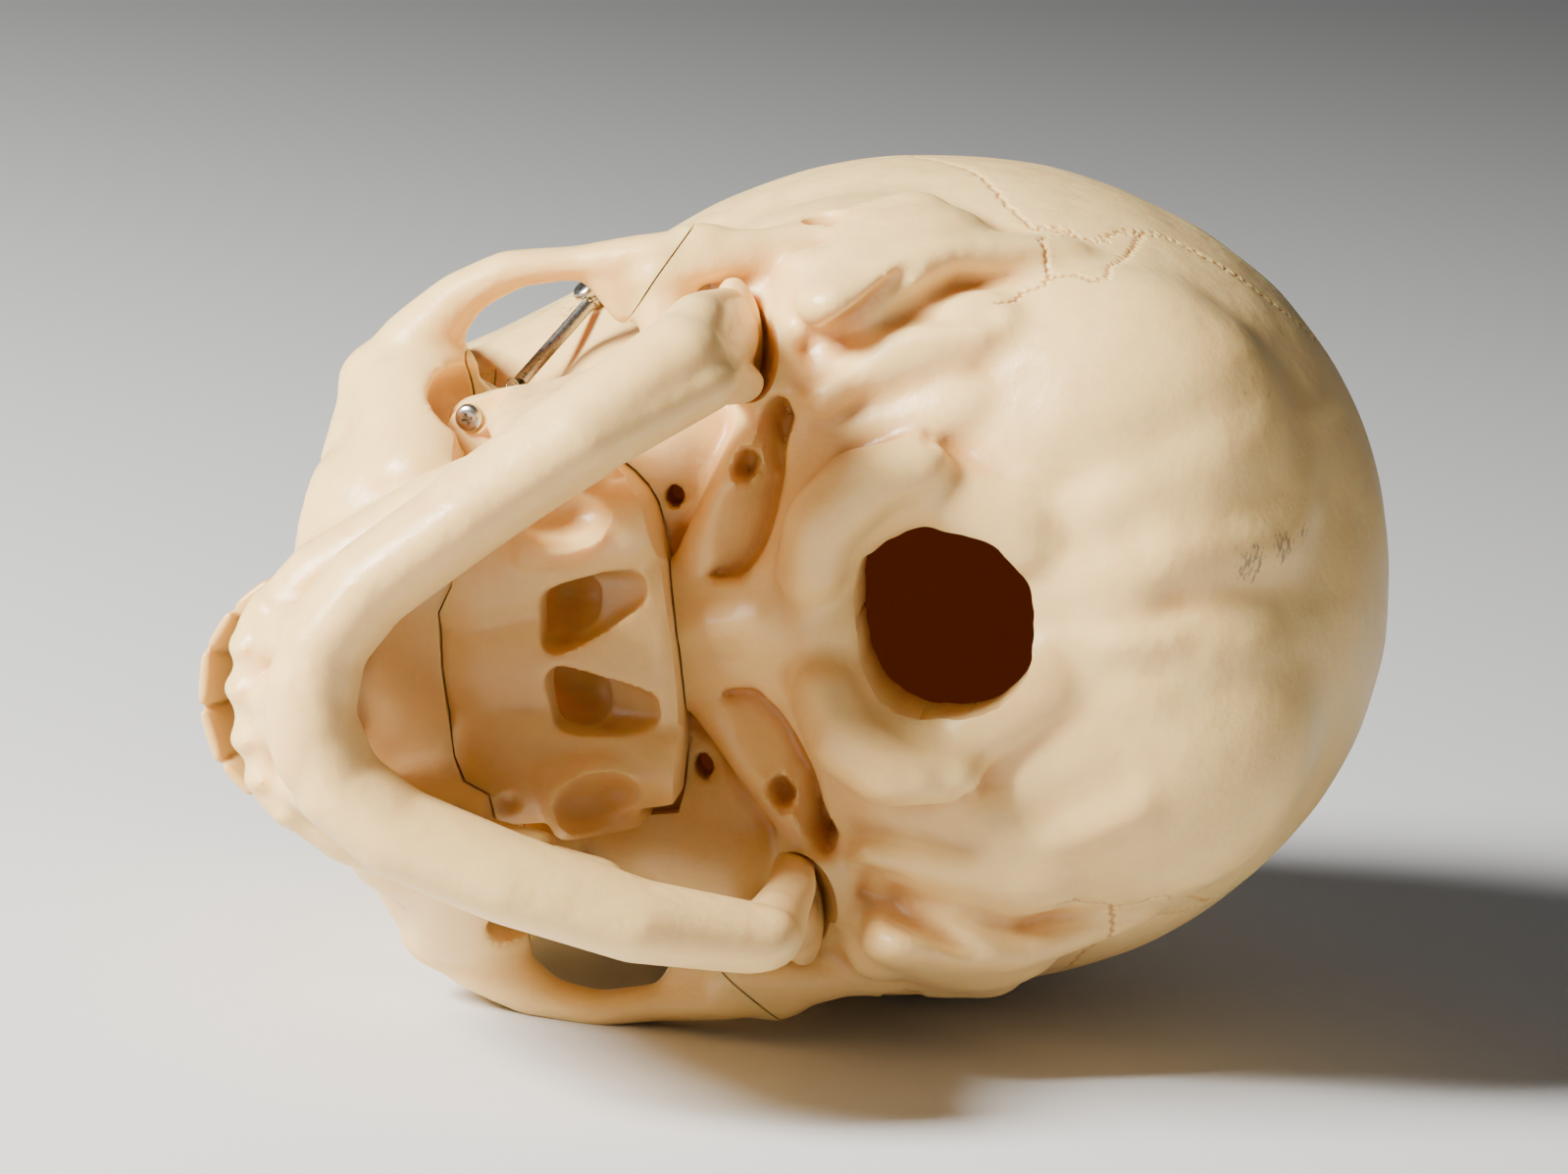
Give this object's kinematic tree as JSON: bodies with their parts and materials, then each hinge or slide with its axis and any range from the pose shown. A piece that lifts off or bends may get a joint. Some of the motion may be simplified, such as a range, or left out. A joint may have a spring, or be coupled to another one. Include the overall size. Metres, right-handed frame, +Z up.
{
  "type": "anatomical skull model",
  "caption": "Life-size moulded skull lying on its side, with a sawn lift-off cap, a separate face and nasal moulding and a jaw hinged at the condyles and held shut by springs.",
  "frame": {"origin": "centre of the box round the whole part, on the ground that it lies on", "axes": "+Z up from the ground, +Y towards the crown of the skull and -X towards its face; the skull lies on its right side, so its left side is up"},
  "size_m": [0.1892, 0.2086, 0.1448],
  "materials": {
    "cream_vinyl": "satin",
    "tooth_vinyl": "satin, a little yellower",
    "bright_steel": "bright drawn wire and bright zinc"
  },
  "bodies": {
    "head": {"cranial_base": "cream_vinyl", "facial_skeleton": "cream_vinyl", "nasal_insert": "cream_vinyl", "upper_teeth": "tooth_vinyl", "front_cap_peg": "bright_steel", "left_cap_peg": "bright_steel", "right_cap_peg": "bright_steel", "left_temple_screw": "bright_steel", "right_temple_screw": "bright_steel", "left_jaw_spring": "bright_steel", "right_jaw_spring": "bright_steel"},
    "jaw": {"mandible": "cream_vinyl", "lower_teeth": "tooth_vinyl", "left_jaw_screw": "bright_steel", "right_jaw_screw": "bright_steel"},
    "cap": {"skull_cap": "cream_vinyl"}
  },
  "joints": [
    {"name": "jaw_hinge", "type": "hinge", "parent": "head", "child": "jaw", "pos_m": [-0.00811, -0.02457, 0.07018], "axis": [-0.2246, 0.0593, 0.9727], "range_deg": [0, 15], "stiffness_Nm_per_rad": 0.125, "springref_deg": -22.92, "deforming": ["left_jaw_spring", "right_jaw_spring"]},
    {"name": "cap_lift", "type": "slide", "parent": "head", "child": "cap", "axis": [0.0982, 0.9944, -0.038], "range_m": [0, 0.06]}
  ]
}
